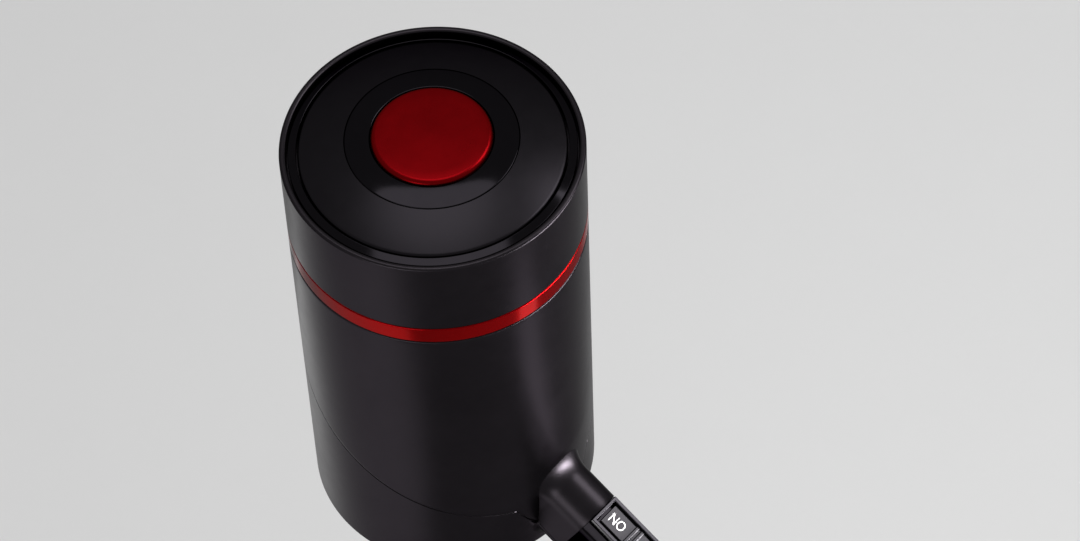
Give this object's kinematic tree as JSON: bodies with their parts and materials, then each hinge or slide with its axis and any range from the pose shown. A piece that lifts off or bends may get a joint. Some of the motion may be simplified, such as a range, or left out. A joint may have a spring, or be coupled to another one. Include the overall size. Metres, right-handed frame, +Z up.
{
  "type": "electric wine aerator dispenser",
  "caption": "Battery wine aerator that plugs into a bottle: cylindrical head with thumb button, sloping spout with slide switch, ribbed plug and telescopic dip tube.",
  "frame": {"origin": "on the plug's axis, in the plane where the bottle's lip meets the underside of the plug's flange", "axes": "+Z up along the head's axis, -Y towards the spout, +X to the right when looking along +Y"},
  "size_m": [0.058, 0.0922, 0.2593],
  "materials": {
    "satin_black": "satin",
    "gloss_black": "polished",
    "gloss_red": "polished",
    "satin_red": "satin",
    "silver": "satin",
    "chrome": "polished",
    "steel": "brushed",
    "silicone_black": "matte",
    "silicone_pale": "matte",
    "food_plastic": "satin",
    "black_plastic": "satin",
    "board_green": "satin",
    "cell_wrap": "satin",
    "bright_metal": "polished",
    "bronze": "satin"
  },
  "bodies": {
    "head": {"upper_housing": "satin_black", "red_band": "gloss_red", "rim_bevel_ring": "satin_black", "top_plate": "satin_black", "button_bezel": "gloss_black", "button_membrane": "silicone_pale", "tact_switch": "black_plastic", "control_board": "board_green", "main_housing": "satin_black", "base_shell": "satin_black", "spout_tip": "gloss_black", "switch_frame": "chrome", "nozzle_insert": "gloss_black", "aerator_screen": "steel", "aerator_core": "food_plastic", "wine_hose": "silicone_pale", "spout_tube": "food_plastic", "bottle_plug": "silicone_black", "plug_core": "food_plastic", "core_o_ring": "silicone_black", "dip_tube_upper": "steel", "tube_end_bush": "black_plastic", "tube_o_ring": "silicone_black", "chassis": "black_plastic", "battery_cell": "cell_wrap", "battery_tabs": "bright_metal", "motor_can": "steel", "motor_bushes": "bronze", "motor_end_cap": "food_plastic", "motor_magnets": "steel", "pump_cover": "food_plastic", "valve_seat_plate": "food_plastic", "umbrella_valves": "silicone_pale", "diaphragm_cups": "silicone_pale", "pump_frame": "food_plastic", "check_valve_body": "food_plastic", "duckbill_valve": "silicone_pale", "air_hoses": "silicone_pale", "charge_board": "board_green", "charge_port": "bright_metal", "port_hinge_pin": "steel", "top_screws": "steel", "base_screws": "steel", "core_screws": "steel", "charge_screws": "steel", "pump_screws": "steel"},
    "button": {"power_button": "satin_red"},
    "switch_slider": {"aeration_slider": "silver", "air_gate_pad": "silicone_black"},
    "lower_tube": {"dip_tube_lower": "steel", "tube_stop_ring": "steel", "inlet_foot": "black_plastic"},
    "port_lid": {"port_cover": "satin_black"},
    "rotor": {"motor_rotor": "steel", "pump_crank": "food_plastic", "crank_pin": "steel"},
    "wobble": {"wobble_plate": "food_plastic"}
  },
  "joints": [
    {"name": "button_press", "type": "slide", "parent": "head", "child": "button", "axis": [0, 0, -1], "range_m": [0, 0.001], "stiffness_N_per_m": 500, "springref_m": -0.001},
    {"name": "aeration_slide", "type": "slide", "parent": "head", "child": "switch_slider", "axis": [0, -0.9063, -0.4226], "range_m": [0, 0.003]},
    {"name": "tube_draw", "type": "slide", "parent": "head", "child": "lower_tube", "axis": [0, 0, -1], "range_m": [0, 0.105]},
    {"name": "port_lid_hinge", "type": "hinge", "parent": "head", "child": "port_lid", "pos_m": [0, 0.028, 0.01985], "axis": [-1, 0, 0], "range_deg": [0, 95]},
    {"name": "rotor_spin", "type": "hinge", "parent": "head", "child": "rotor", "pos_m": [0, -0.0105, 0.07], "axis": [0, 0, 1], "continuous": true},
    {"name": "wobble_turn", "type": "hinge", "parent": "rotor", "child": "wobble", "pos_m": [0, -0.0105, 0.046], "axis": [0.1045, 0, 0.9945], "continuous": true}
  ],
  "couplings": [
    {"joint": "wobble_turn", "follows": "rotor_spin", "ratio": -1}
  ]
}
